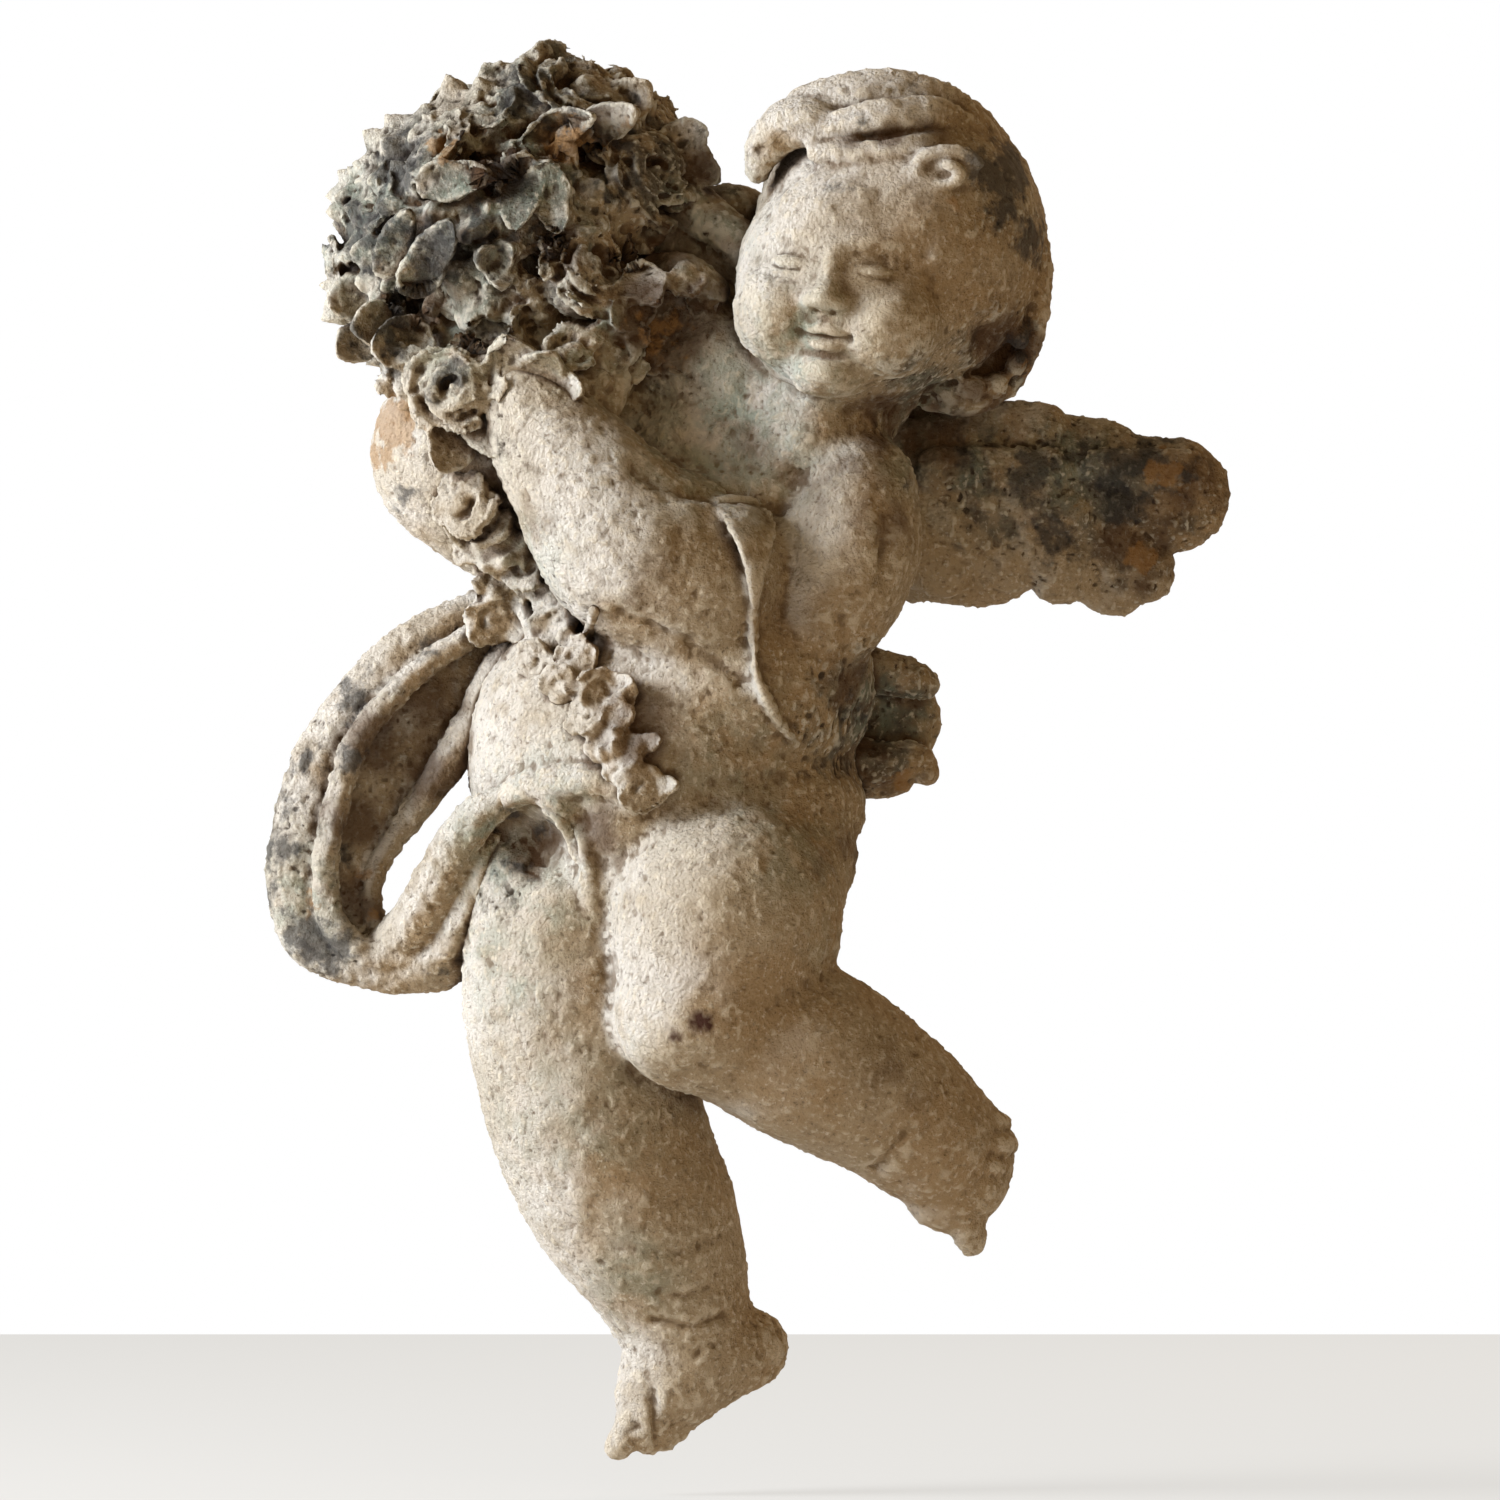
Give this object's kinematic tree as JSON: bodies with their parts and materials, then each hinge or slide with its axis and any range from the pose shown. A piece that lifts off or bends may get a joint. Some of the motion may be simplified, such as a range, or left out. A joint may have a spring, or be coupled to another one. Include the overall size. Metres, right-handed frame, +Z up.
{
  "type": "stone wall putto",
  "caption": "Weathered stone putto in high relief with a flat back, a wing, a sheaf of roses, a garland and a looping scarf, made to hang on a wall.",
  "frame": {"origin": "on the flat back, behind the ribs, where the wall carries it", "axes": "+Z up along the figure, +Y into the wall out of the flat back, the figure faces -Y, +X towards the wing"},
  "size_m": [0.4834, 0.1661, 0.7112],
  "materials": {
    "stone": "weathered, grainy and pitted, pale limestone with dark lichen and brown earth in the hollows"
  },
  "bodies": {
    "root": {"putto": "stone"}
  },
  "joints": []
}
